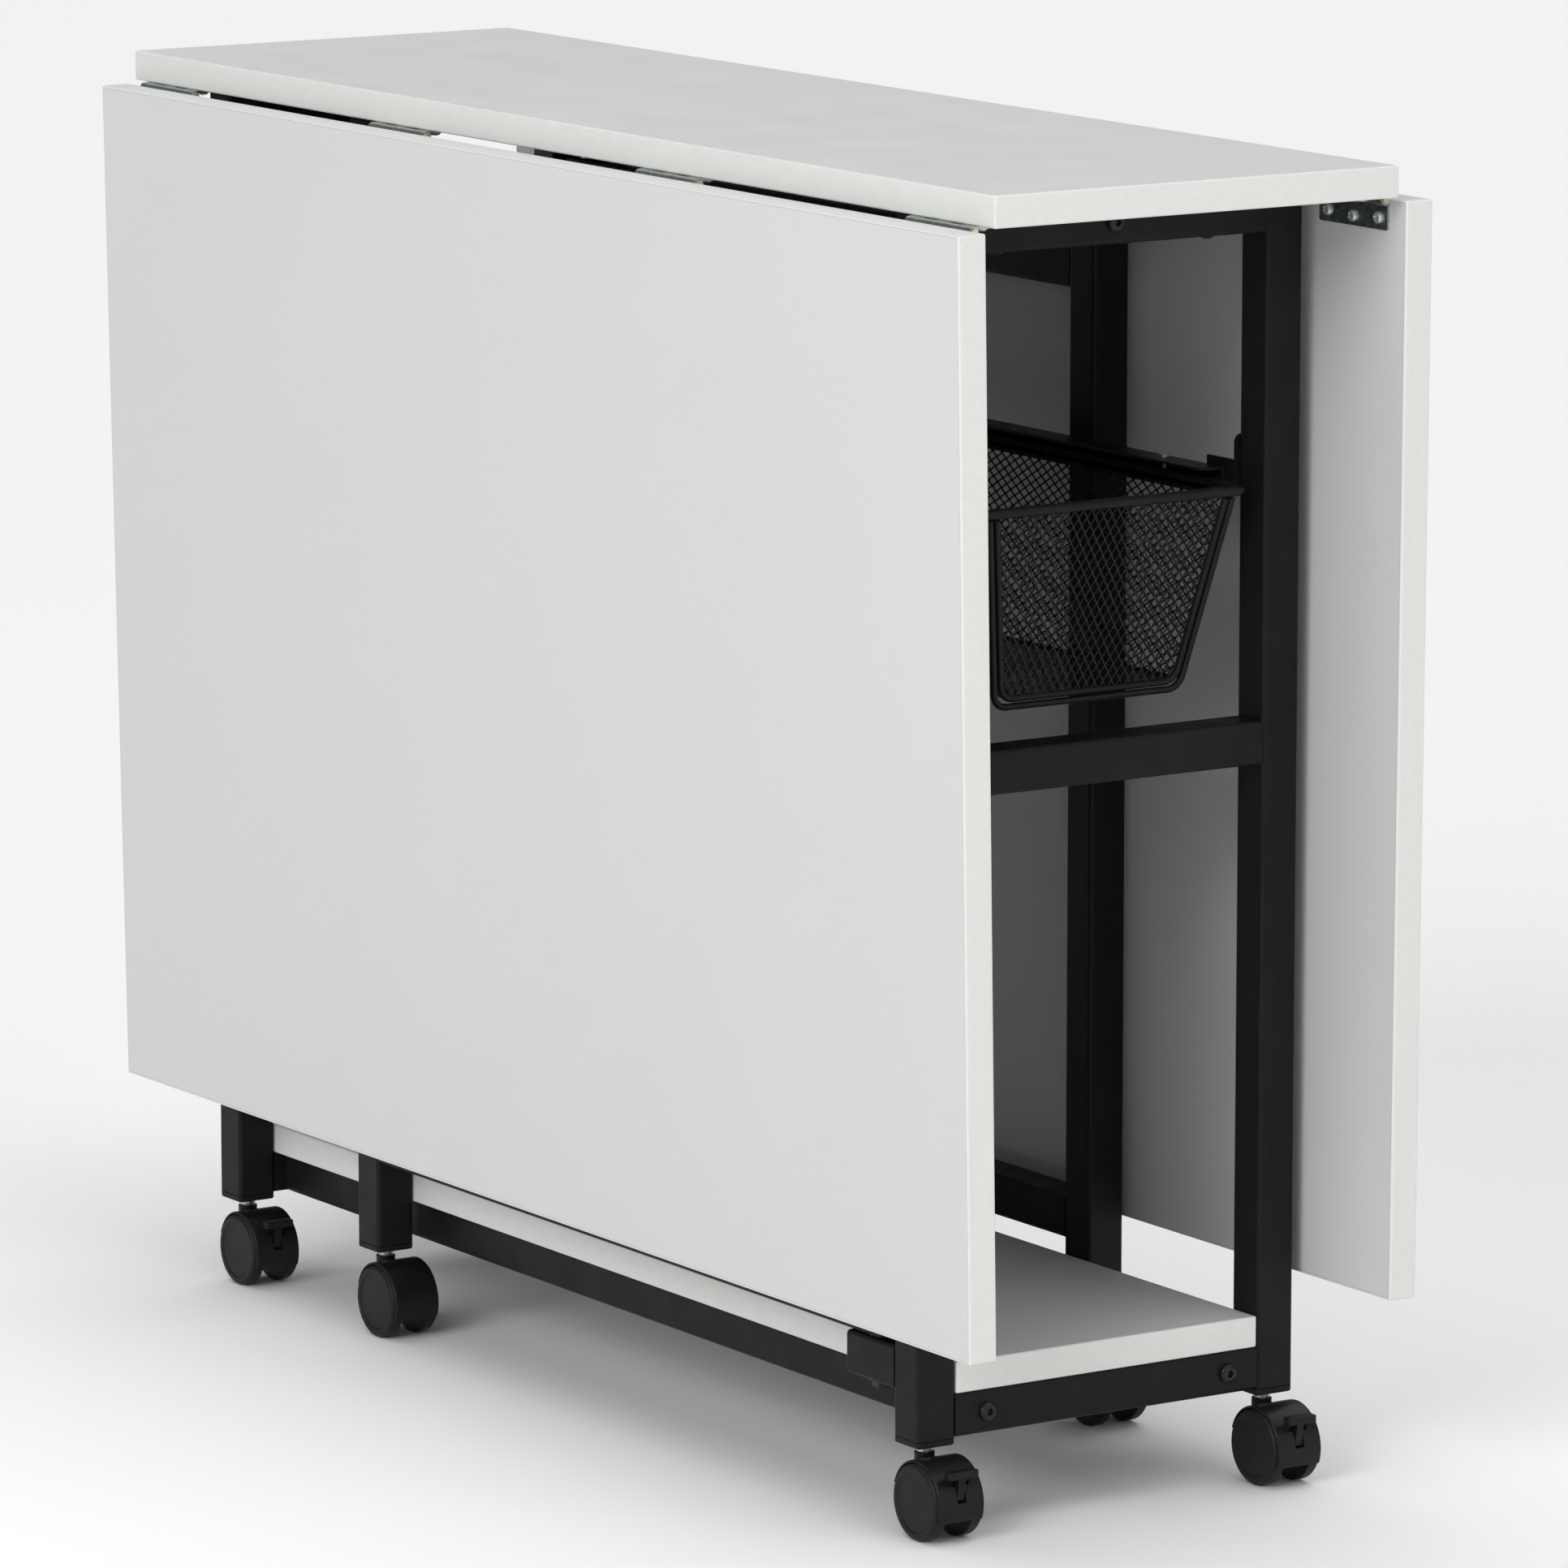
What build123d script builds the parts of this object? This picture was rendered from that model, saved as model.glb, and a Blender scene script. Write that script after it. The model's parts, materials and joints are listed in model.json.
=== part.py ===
from build123d import *
import math
import os

# Gateleg table on casters: a narrow fixed top, two hinged leaves that hang beside it, two swinging
# gates that carry the raised leaves, a low shelf and a wire mesh basket that slides out at one end.
# Millimetres, +Z up. The origin is on the floor under the middle of the top. X runs along the top
# and the basket comes out towards +X. The front leaf hangs on the -Y side.

# Boards
TOP_LENGTH = 940.0
TOP_WIDTH = 270.0
BOARD = 18.0
HEIGHT = 760.0
LEAF_DROP = 622.0
FRONT_TILT = 0.92  # degrees that the hanging front leaf leans in under the top
REAR_TILT = 0.3  # the same for the rear leaf
BOARD_EDGE = 1.2  # rounding of the board edges

# Steel frame of square tube
TUBE = 25.0
TUBE_WALL = 1.2
TUBE_CORNER = 2.5
END_OVERHANG = 80.0  # from the end of the top to the outside of the end frame
SIDE_INSET = 6.5  # from the long edge of the top to the outside of the posts
POST_BOTTOM = 55.0
CAP_HEIGHT = 4.0
PLUG_GAP = 0.1  # between a plug and the inside of its tube, all round
MID_RAIL_Z = 428.5
BOTTOM_RAIL_Y = 82.5
SHELF_CLEARANCE = 0.5  # from the edge of the shelf to the inside of the posts

# Gates
GATE_POST_X = 209.5
GATE_LOWER_RAIL_Z = 119.5
GATE_UPPER_RAIL_Z = 678.5
GATE_PIVOT_X = 337.0
GATE_TOP_GAP = 0.3  # between the glide on top of a gate and the underside of the top
GLIDE_HEIGHT = 4.0
GLIDE_PLUG = 16.0
BUSH_LENGTH = 30.0
BUSH_FLANGE = 2.0
PIVOT_BLOCK_LENGTH = 48.0
WASHER_HEIGHT = 0.8
WASHER_RADIUS = 9.0
FLANGE_RADIUS = 8.5
FLANGE_HEIGHT = 1.5
HEX_RADIUS = 6.8
HEX_HEIGHT = 5.5
PIVOT_RADIUS = 4.0
RUNNING_FIT = 0.05

# Butt hinges under the joint between the top and each leaf
HINGE_LENGTH = 63.5
HINGE_PLATE = 1.5
HINGE_LEAF_WIDTH = 17.0
HINGE_CORNER = 1.5
HINGE_RADIUS = 2.8
HINGE_PIN_RADIUS = 1.4
HINGE_PIN_HEAD = 1.9
HINGE_KNUCKLES = 5
KNUCKLE_GAP = 0.2
HINGE_OUT = 2.5  # from the edge of the top out to the hinge pin
HINGE_DOWN = 3.0  # from the underside of the top down to the hinge pin
LEAF_JOINT_GAP = 1.5  # between the edge of the top and the edge of a raised leaf
HINGE_XS = [-422.5, -148.0, 148.0, 422.5]

# Basket and its runners
BASKET_X = [-25.0, 389.5]
BASKET_RIM_Y = 91.0
BASKET_RIM_Z = 573.0
RIM_RADIUS = 3.0
RIM_CORNER = 9.0
WIRE_RADIUS = 2.0
BASKET_TOP_Y = 82.5
BASKET_DEPTH = 113.0
BASKET_TAPER_X = 24.0
BASKET_TAPER_Y = 20.0
WIRE_BEND = 9.0
MESH_SHEET = 0.8
RUNNER_WEB_Y = 100.0
RUNNER_DEPTH = 16.0
RUNNER_SHEET = 1.5
RUNNER_HEIGHT = 13.5
RUNNER_BOTTOM = 568.0
RUNNER_END_GAP = 9.0  # from the end of a runner to the posts
RUNNER_TIP = 9.0
BRACKET_SHEET = 2.0
BRACKET_LENGTH = 26.0
BRACKET_TOP = 586.5
TAB_WIDTH = 18.0
TAB_HEIGHT = 35.0
TAB_CORNER = 5.0
RIVET_XS = [-303.0, 303.0]
RIVET_INSET = 3.7
RIVET_RADIUS = 1.3
RIVET_HEAD = 3.0

# Twin wheel casters
WHEEL_RADIUS = 22.0
WHEEL_WIDTH = 7.8
WHEEL_INNER_Y = 8.7
WHEEL_BORE = 6.0
TREAD_OUTER_EDGE = 2.6
TREAD_INNER_EDGE = 0.8
DISH_RADIUS = 17.6
DISH_DEPTH = 0.5
DISH_TAPER = 60.0
CASTER_TRAIL = 14.0
HOOD_RADIUS = 23.8
HOOD_HALF_WIDTH = 15.0
HOOD_WEB_HALF = 8.3
WHEEL_POCKET = 22.6
HOOD_BOTTOM = 13.5
NECK_RADIUS = 5.8
NECK_TOP = 46.5
AXLE_RADIUS = 2.5
STEM_PIN_RADIUS = 3.0
STEM_RADIUS = 4.0
COLLAR_RADIUS = 4.6

SLOT_BOTTOM = 24.4
SLOT_TOP = 37.5
SLOT_WIDTH = 6.0
SLOT_DEPTH = 8.0
RECESS_WIDTH = 13.0
RECESS_HEIGHT = 3.5
RECESS_DEPTH = 8.0
LEVER_PIVOT_X = 19.5  # from the axle back to the brake lever's pivot
LEVER_PIVOT_Z = 28.0
LEVER_PIN = 1.0
LEVER_WIDTH = 4.6
LEVER_STEM_X = 24.0  # back of the lever's upright
LEVER_TIP_X = 26.6  # back of its cross bar
LEVER_BAR_Z = 39.0
LEVER_BAR_HEIGHT = 4.2
LEVER_BAR_DEPTH = 7.0
LEVER_BAR_WIDTH = 19.0

# Screws and bolts
SCREW_RADIUS = 1.5
SCREW_HEAD = 3.5
SCREW_HEAD_HEIGHT = 2.2
SCREW_SPACING = 23.6
SCREW_DEPTH = 12.0
BUTTON_HEAD = 5.5
BUTTON_HEIGHT = 3.2
HEX_SOCKET = 2.3
BOLT_RADIUS = 3.0
BOLT_REACH = 45.0
TOP_SCREW_RADIUS = 2.0
TOP_SCREW_HEAD = 4.0
TOP_SCREW_HEAD_HEIGHT = 2.4
TOP_SCREW_REACH = 10.0
TOP_SCREW_Y = 71.0
PLUG_CORNER = 1.0
PLUG_LENGTH = 22.0
CAP_PLUG_LENGTH = 26.0
CAP_EDGE = 1.2
HOLE_SLACK = 0.1

# Places worked out from the sizes above
half_length = TOP_LENGTH / 2
half_width = TOP_WIDTH / 2
underside = HEIGHT - BOARD
post_x = half_length - END_OVERHANG - TUBE / 2
post_y = half_width - SIDE_INSET - TUBE / 2
frame_out_x = post_x + TUBE / 2
frame_in_x = post_x - TUBE / 2
frame_in_y = post_y - TUBE / 2
cap_bottom = POST_BOTTOM - CAP_HEIGHT
bottom_rail_z = POST_BOTTOM + TUBE / 2
top_rail_z = underside - TUBE / 2
shelf_bottom = POST_BOTTOM + TUBE
hinge_y = half_width + HINGE_OUT
hinge_z = underside - HINGE_DOWN
glide_top = underside - GATE_TOP_GAP
rail_plug = TUBE - 2 * (TUBE_WALL + PLUG_GAP)
corner_posts = [(sx * post_x, sy * post_y) for sx in (-1, 1) for sy in (-1, 1)]

os.makedirs("parts", exist_ok=True)


def write(part, name):
    """Labels a finished piece and writes it as its own file."""
    part.label = name
    export_step(part, f"parts/{name}.step")


def group(pieces):
    """Pieces that share one file and stay separate solids."""
    solids = [solid for piece in pieces for solid in piece.solids()]
    return Compound(children=solids)


def turned(part):
    """The same piece turned half a turn about the middle of the table."""
    return Rot(0, 0, 180) * part


def axis_plane(origin, direction):
    """A plane at a point, facing along a direction, with its x axis level."""
    across = (1, 0, 0) if abs(direction[0]) < 0.5 else (0, 1, 0)
    return Plane(origin=origin, x_dir=across, z_dir=direction)


def cylinder_cut(origin, direction, radius, depth):
    """Cuts a round hole into the part being built."""
    with BuildSketch(axis_plane(origin, direction), mode=Mode.PRIVATE) as hole:
        Circle(radius)
    extrude(hole.sketch, amount=depth, mode=Mode.SUBTRACT)


def square_tube(start, direction, length, holes=()):
    """Square tube from a point along a direction, drilled where holes says."""
    with BuildPart() as tube:
        with BuildSketch(axis_plane(start, direction)):
            RectangleRounded(TUBE, TUBE, TUBE_CORNER)
            inside = TUBE - 2 * TUBE_WALL
            RectangleRounded(inside, inside, TUBE_CORNER - TUBE_WALL, mode=Mode.SUBTRACT)
        extrude(amount=length)
        for origin, hole_direction, radius, depth in holes:
            cylinder_cut(origin, hole_direction, radius, depth)
    return tube.part


# ---------------------------------------------------------------- boards

def board(centre_x, size_x, size_y, bottom, holes=()):
    """Level board centred on y = 0, with pilot holes drilled up into its underside."""
    with BuildPart() as panel:
        with BuildSketch(Plane.XY.offset(bottom)):
            with Locations((centre_x, 0)):
                Rectangle(size_x, size_y)
        extrude(amount=BOARD)
        fillet(panel.edges(), BOARD_EDGE)
        for x, y, radius, depth in holes:
            cylinder_cut((x, y, bottom), (0, 0, 1), radius, depth)
    return panel.part


screw_xs = [-SCREW_SPACING, 0.0, SCREW_SPACING]
screw_rows = [10.2, 11.4, 10.2]  # from the hinge pin to each screw of a hinge leaf
screw_places = [(hx + x, row) for hx in HINGE_XS for x, row in zip(screw_xs, screw_rows)]

top_holes = []
for side in (-1, 1):
    for x, row in screw_places:
        top_holes.append((x, side * (hinge_y - row), SCREW_RADIUS + HOLE_SLACK, SCREW_DEPTH + 1))
    for end in (-1, 1):
        hole_radius = TOP_SCREW_RADIUS + HOLE_SLACK
        top_holes.append((end * post_x, side * TOP_SCREW_Y, hole_radius, TOP_SCREW_REACH + 1))
write(board(0, TOP_LENGTH, TOP_WIDTH, underside, top_holes), "center_top")

shelf_width = 2 * (frame_in_y - SHELF_CLEARANCE)
write(board(0, 2 * frame_out_x, shelf_width, shelf_bottom), "shelf")


def leaf_plane(tilt):
    """Plane through the hinge pins of a leaf hanging on the -Y side: x runs along the pins, y points
    up the leaf and z points outwards. Both leaves are drawn there, and the rear one is then turned."""
    lean = math.radians(tilt)
    return Plane(
        origin=(0, -hinge_y, hinge_z),
        x_dir=(1, 0, 0),
        z_dir=(0, -math.cos(lean), -math.sin(lean)),
    )


def leaf_board(plane):
    """Hinged leaf with pilot holes in its inner face."""
    edge_height = HINGE_OUT - LEAF_JOINT_GAP  # how far the leaf's edge stands above the pins
    with BuildPart() as leaf:
        with BuildSketch(plane.offset(HINGE_DOWN)):
            with Locations((0, edge_height - LEAF_DROP / 2)):
                Rectangle(TOP_LENGTH, LEAF_DROP)
        extrude(amount=BOARD)
        fillet(leaf.edges(), BOARD_EDGE)
        with BuildSketch(plane.offset(HINGE_DOWN)):
            with Locations(*[(x, -row) for x, row in screw_places]):
                Circle(SCREW_RADIUS + HOLE_SLACK)
        extrude(amount=SCREW_DEPTH + 1, mode=Mode.SUBTRACT)
    return leaf.part


front_plane = leaf_plane(FRONT_TILT)
rear_plane = leaf_plane(REAR_TILT)
write(leaf_board(front_plane), "front_leaf")
write(turned(leaf_board(rear_plane)), "rear_leaf")


# ---------------------------------------------------------------- steel frame

def end_rail(side, z, holes=()):
    """Cross rail of an end frame, between its posts."""
    length = 2 * frame_in_y
    return square_tube((side * post_x, -frame_in_y, z), (0, 1, 0), length, holes)


def end_frame(side):
    """Two posts and three cross rails, welded, with the holes for the bolts and the top screws."""
    outside = side * frame_out_x
    inward = (-side, 0, 0)
    bolt_hole = BOLT_RADIUS + 2 * HOLE_SLACK
    low_holes = [
        ((outside, y, bottom_rail_z), inward, bolt_hole, TUBE) for y in (-BOTTOM_RAIL_Y, BOTTOM_RAIL_Y)
    ]
    high_holes = [((outside, 0, top_rail_z), inward, bolt_hole, TUBE)]
    for y in (-TOP_SCREW_Y, TOP_SCREW_Y):
        start = (side * post_x, y, top_rail_z - TUBE / 2)
        high_holes.append((start, (0, 0, 1), TOP_SCREW_RADIUS + 2 * HOLE_SLACK, TUBE))
    pieces = [
        square_tube((side * post_x, y, POST_BOTTOM), (0, 0, 1), underside - POST_BOTTOM)
        for y in (-post_y, post_y)
    ]
    pieces.append(end_rail(side, bottom_rail_z, low_holes))
    pieces.append(end_rail(side, MID_RAIL_Z))
    pieces.append(end_rail(side, top_rail_z, high_holes))
    return group(pieces)


write(end_frame(-1), "left_end_frame")
write(end_frame(1), "right_end_frame")

rail_starts = [(-BOTTOM_RAIL_Y, bottom_rail_z), (BOTTOM_RAIL_Y, bottom_rail_z), (0.0, top_rail_z)]


def long_rail(y, z):
    """Rail along X between the two end frames."""
    return square_tube((-frame_in_x, y, z), (1, 0, 0), 2 * frame_in_x)


write(group([long_rail(y, z) for y, z in rail_starts[:2]]), "bottom_rails")
write(long_rail(*rail_starts[2]), "top_stretcher")


def rail_end_plug(side, y, z):
    """Threaded plug inside the end of a long rail."""
    with BuildPart() as plug:
        with BuildSketch(axis_plane((side * frame_in_x, y, z), (-side, 0, 0))):
            RectangleRounded(rail_plug, rail_plug, PLUG_CORNER)
            Circle(BOLT_RADIUS + HOLE_SLACK / 2, mode=Mode.SUBTRACT)
        extrude(amount=PLUG_LENGTH)
    return plug.part


def frame_bolt(side, y, z):
    """Button head bolt with a hexagon socket, through an end frame into a rail plug."""
    with BuildPart() as bolt:
        with BuildSketch(axis_plane((side * frame_out_x, y, z), (side, 0, 0))):
            Circle(BUTTON_HEAD)
        extrude(amount=BUTTON_HEIGHT)
        fillet(bolt.edges().sort_by(Axis.X)[-1 if side > 0 else 0], 2.0)
        with BuildSketch(axis_plane((side * (frame_out_x + BUTTON_HEIGHT), y, z), (-side, 0, 0))):
            RegularPolygon(HEX_SOCKET, 6)
        extrude(amount=2.0, mode=Mode.SUBTRACT)
        with BuildSketch(axis_plane((side * frame_out_x, y, z), (-side, 0, 0))):
            Circle(BOLT_RADIUS)
        extrude(amount=BOLT_REACH)
    return bolt.part


rail_ends = [(side, y, z) for side in (-1, 1) for y, z in rail_starts]
write(group([rail_end_plug(*place) for place in rail_ends]), "rail_plugs")
write(group([frame_bolt(*place) for place in rail_ends]), "frame_bolts")

with BuildPart() as top_screws:
    places = [(sx * post_x, sy * TOP_SCREW_Y) for sx in (-1, 1) for sy in (-1, 1)]
    head_bottom = top_rail_z - TUBE / 2 - TOP_SCREW_HEAD_HEIGHT
    with BuildSketch(Plane.XY.offset(head_bottom)):
        with Locations(*places):
            Circle(TOP_SCREW_HEAD)
    extrude(amount=TOP_SCREW_HEAD_HEIGHT)
    fillet(top_screws.edges().group_by(Axis.Z)[0], 1.2)
    with BuildSketch(Plane.XY.offset(head_bottom)):
        with Locations(*places):
            Circle(TOP_SCREW_RADIUS)
    extrude(amount=TOP_SCREW_HEAD_HEIGHT + TUBE + TOP_SCREW_REACH)
write(top_screws.part, "top_screws")


def foot_cap(x, y):
    """Plastic cap with a plug inside the post and a socket for the caster stem."""
    with BuildPart() as cap:
        with BuildSketch(Plane.XY.offset(cap_bottom)):
            with Locations((x, y)):
                RectangleRounded(TUBE, TUBE, TUBE_CORNER)
        extrude(amount=CAP_HEIGHT - 0.4)
        fillet(cap.edges().group_by(Axis.Z)[0], CAP_EDGE)
        with BuildSketch(Plane.XY.offset(cap_bottom + 1)):
            with Locations((x, y)):
                RectangleRounded(rail_plug, rail_plug, PLUG_CORNER)
        extrude(amount=CAP_PLUG_LENGTH)
        cylinder_cut((x, y, cap_bottom), (0, 0, 1), STEM_RADIUS + HOLE_SLACK, 40.0)
    return cap.part


write(group([foot_cap(x, y) for x, y in corner_posts]), "post_caps")


# ---------------------------------------------------------------- gates
# The front gate hangs on pivots beside the front post at the +X end. The rear gate is the same
# gate turned half a turn about the middle of the table.

gate_rail_end = GATE_PIVOT_X + TUBE / 2
gate_rail_start = -GATE_POST_X + TUBE / 2
gate_stile_x = GATE_PIVOT_X - TUBE
gate_rails = (GATE_LOWER_RAIL_Z, GATE_UPPER_RAIL_Z)


def gate_frame():
    """Free post, two rails and a stile next to the pivots, welded."""
    pivot_hole = PIVOT_RADIUS + RUNNING_FIT
    post_length = glide_top - GLIDE_HEIGHT - POST_BOTTOM
    pieces = [square_tube((-GATE_POST_X, -post_y, POST_BOTTOM), (0, 0, 1), post_length)]
    for z in gate_rails:
        hole = [((GATE_PIVOT_X, -post_y, z - TUBE / 2), (0, 0, 1), pivot_hole, TUBE)]
        length = gate_rail_end - gate_rail_start
        pieces.append(square_tube((gate_rail_start, -post_y, z), (1, 0, 0), length, hole))
    stile_length = gate_rails[1] - gate_rails[0] - TUBE
    stile_bottom = gate_rails[0] + TUBE / 2
    pieces.append(square_tube((gate_stile_x, -post_y, stile_bottom), (0, 0, 1), stile_length))
    return group(pieces)


def gate_bush(z):
    """Plug in the pivot end of a gate rail, bored for the pivot bolt."""
    with BuildPart() as bush:
        with BuildSketch(axis_plane((gate_rail_end, -post_y, z), (-1, 0, 0))):
            RectangleRounded(rail_plug, rail_plug, PLUG_CORNER)
        extrude(amount=BUSH_LENGTH)
        with BuildSketch(axis_plane((gate_rail_end, -post_y, z), (1, 0, 0))):
            RectangleRounded(TUBE, TUBE, TUBE_CORNER)
        extrude(amount=BUSH_FLANGE)
        fillet(bush.edges().group_by(Axis.X)[-1], 1.0)
        cylinder_cut((GATE_PIVOT_X, -post_y, z - TUBE), (0, 0, 1), PIVOT_RADIUS + RUNNING_FIT, 2 * TUBE)
    return bush.part


def gate_glide():
    """Smooth pad on top of the free post, where the raised leaf rests."""
    with BuildPart() as glide:
        with BuildSketch(Plane.XY.offset(glide_top - GLIDE_HEIGHT)):
            with Locations((-GATE_POST_X, -post_y)):
                RectangleRounded(TUBE, TUBE, TUBE_CORNER)
        extrude(amount=GLIDE_HEIGHT)
        fillet(glide.edges().group_by(Axis.Z)[-1], CAP_EDGE)
        with BuildSketch(Plane.XY.offset(glide_top - GLIDE_HEIGHT - GLIDE_PLUG)):
            with Locations((-GATE_POST_X, -post_y)):
                RectangleRounded(rail_plug, rail_plug, PLUG_CORNER)
        extrude(amount=GLIDE_PLUG + 1)
    return glide.part


front_gate = gate_frame()
front_gate_caps = group([foot_cap(-GATE_POST_X, -post_y), gate_glide(), *map(gate_bush, gate_rails)])
write(front_gate, "front_gate")
write(front_gate_caps, "front_gate_caps")
write(turned(front_gate), "rear_gate")
write(turned(front_gate_caps), "rear_gate_caps")

# Each pivot has a block on the post, a washer and a bolt. The lower set stands under the gate's
# lower rail and the upper set over its upper rail.


def pivot_levels(z, way):
    """Heights of the washer, the block and the bolt head beside the rail at z, on one side of it."""
    face = z + way * TUBE / 2
    near = face + way * (WASHER_HEIGHT + HOLE_SLACK)
    return face, near, near + way * TUBE


pivot_sides = list(zip(gate_rails, (-1, 1)))


def pivot_block(z, way):
    """Short block welded to the inside of a post, bored for the pivot bolt."""
    near, far = sorted(pivot_levels(z, way)[1:])
    with BuildPart() as block:
        with BuildSketch(axis_plane((frame_in_x, -post_y, (near + far) / 2), (-1, 0, 0))):
            RectangleRounded(TUBE, TUBE, TUBE_CORNER)
        extrude(amount=PIVOT_BLOCK_LENGTH)
        fillet(block.edges().group_by(Axis.X)[0], 1.5)
        cylinder_cut((GATE_PIVOT_X, -post_y, near), (0, 0, 1), PIVOT_RADIUS + HOLE_SLACK, TUBE)
    return block.part


def pivot_washer(z, way):
    """Plain washer between a pivot block and the gate."""
    face = pivot_levels(z, way)[0] + way * HOLE_SLACK / 2
    with BuildPart() as washer:
        with BuildSketch(axis_plane((GATE_PIVOT_X, -post_y, face), (0, 0, way))):
            Circle(WASHER_RADIUS)
            Circle(PIVOT_RADIUS + HOLE_SLACK, mode=Mode.SUBTRACT)
        extrude(amount=WASHER_HEIGHT)
    return washer.part


def pivot_bolt(z, way):
    """Hexagon flange bolt that the gate turns on."""
    far = pivot_levels(z, way)[2]
    with BuildPart() as bolt:
        with BuildSketch(axis_plane((GATE_PIVOT_X, -post_y, far), (0, 0, way))):
            Circle(FLANGE_RADIUS)
        extrude(amount=FLANGE_HEIGHT)
        with BuildSketch(axis_plane((GATE_PIVOT_X, -post_y, far), (0, 0, way))):
            RegularPolygon(HEX_RADIUS, 6)
        extrude(amount=HEX_HEIGHT)
        with BuildSketch(axis_plane((GATE_PIVOT_X, -post_y, far), (0, 0, -way))):
            Circle(PIVOT_RADIUS)
        extrude(amount=TUBE + WASHER_HEIGHT + HOLE_SLACK + 0.8 * TUBE)
    return bolt.part


pivot_pieces = {"pivot_blocks": pivot_block, "pivot_washers": pivot_washer, "pivot_bolts": pivot_bolt}
for name, make in pivot_pieces.items():
    front_pair = [make(z, way) for z, way in pivot_sides]
    write(group(front_pair + [turned(piece) for piece in front_pair]), name)


# ---------------------------------------------------------------- hinges

knuckle = HINGE_LENGTH / HINGE_KNUCKLES
fixed_knuckles = [i for i in range(HINGE_KNUCKLES) if i % 2 == 0]
moving_knuckles = [i for i in range(HINGE_KNUCKLES) if i % 2 == 1]


def hinge_leaf(plane, hinge_x, own_knuckles):
    """Plate and knuckles of one hinge half. The plane holds the pin along its x, the plate lies
    HINGE_DOWN out along its z and spreads towards its -y."""
    sign = 1 if plane.x_dir.X > 0 else -1
    middle = sign * hinge_x
    plate_low = HINGE_DOWN - HINGE_PLATE
    with BuildPart() as half:
        with BuildSketch(plane.offset(plate_low)):
            with Locations((middle, -HINGE_LEAF_WIDTH / 2)):
                RectangleRounded(HINGE_LENGTH, HINGE_LEAF_WIDTH, HINGE_CORNER)
        extrude(amount=HINGE_PLATE)
        for i in range(HINGE_KNUCKLES):
            start = middle - HINGE_LENGTH / 2 + i * knuckle
            if i not in own_knuckles:
                notch = plane.offset(plate_low - 1)
                with BuildSketch(notch):
                    with Locations((start + knuckle / 2, 0)):
                        Rectangle(knuckle + 2 * KNUCKLE_GAP, 2 * (HINGE_RADIUS + 0.8))
                extrude(amount=HINGE_PLATE + 2, mode=Mode.SUBTRACT)
        for i in own_knuckles:
            start = middle - HINGE_LENGTH / 2 + i * knuckle + KNUCKLE_GAP / 2
            origin = plane.from_local_coords(Vector(start, 0, 0))
            with BuildSketch(Plane(origin=origin, x_dir=plane.y_dir, z_dir=plane.x_dir)):
                Circle(HINGE_RADIUS)
                Circle(HINGE_PIN_RADIUS + RUNNING_FIT, mode=Mode.SUBTRACT)
            extrude(amount=knuckle - KNUCKLE_GAP)
        length = HINGE_LENGTH + 2
        origin = plane.from_local_coords(Vector(middle - length / 2, 0, 0))
        with BuildSketch(Plane(origin=origin, x_dir=plane.y_dir, z_dir=plane.x_dir)):
            Circle(HINGE_PIN_RADIUS + RUNNING_FIT)
        extrude(amount=length, mode=Mode.SUBTRACT)
        with BuildSketch(plane.offset(plate_low - 1)):
            with Locations(*[(middle + x, -row) for x, row in zip(screw_xs, screw_rows)]):
                Circle(SCREW_RADIUS + HOLE_SLACK)
        extrude(amount=HINGE_PLATE + 2, mode=Mode.SUBTRACT)
    return half.part


def hinge_screws(plane):
    """Pan head screws of the four hinge halves on one board."""
    sign = 1 if plane.x_dir.X > 0 else -1
    places = [(sign * x, -row) for x, row in screw_places]
    plate_low = HINGE_DOWN - HINGE_PLATE
    with BuildPart() as screws:
        with BuildSketch(plane.offset(plate_low)):
            with Locations(*places):
                Circle(SCREW_HEAD)
        extrude(amount=-SCREW_HEAD_HEIGHT)
        with BuildSketch(plane.offset(plate_low)):
            with Locations(*places):
                Circle(SCREW_RADIUS)
        extrude(amount=HINGE_PLATE + SCREW_DEPTH)
    return screws.part


def hinge_pin(hinge_x):
    """Pin through the knuckles, with a small head at each end."""
    with BuildPart() as pin:
        with BuildSketch(axis_plane((hinge_x - HINGE_LENGTH / 2 - 0.5, -hinge_y, hinge_z), (1, 0, 0))):
            Circle(HINGE_PIN_RADIUS)
        extrude(amount=HINGE_LENGTH + 1)
        for side in (-1, 1):
            end = (hinge_x + side * (HINGE_LENGTH / 2 + 0.3), -hinge_y, hinge_z)
            with BuildSketch(axis_plane(end, (side, 0, 0))):
                Circle(HINGE_PIN_HEAD)
            extrude(amount=1.0)
    return pin.part


fixed_plane = Plane(origin=(0, -hinge_y, hinge_z), x_dir=(-1, 0, 0), z_dir=(0, 0, 1))
front_fixed = [hinge_leaf(fixed_plane, x, fixed_knuckles) for x in HINGE_XS]
front_pins = [hinge_pin(x) for x in HINGE_XS]
top_side_screws = hinge_screws(fixed_plane)
write(group(front_fixed + [turned(piece) for piece in front_fixed]), "hinge_fixed_plates")
write(group(front_pins + [turned(piece) for piece in front_pins]), "hinge_pins")
write(group([top_side_screws, turned(top_side_screws)]), "hinge_top_screws")
write(group([hinge_leaf(front_plane, x, moving_knuckles) for x in HINGE_XS]), "front_hinge_plates")
write(group([turned(hinge_leaf(rear_plane, x, moving_knuckles)) for x in HINGE_XS]), "rear_hinge_plates")
write(group([hinge_screws(front_plane)]), "front_hinge_screws")
write(group([turned(hinge_screws(rear_plane))]), "rear_hinge_screws")


# ---------------------------------------------------------------- basket and runners

runner_end = frame_in_x - RUNNER_END_GAP


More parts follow.
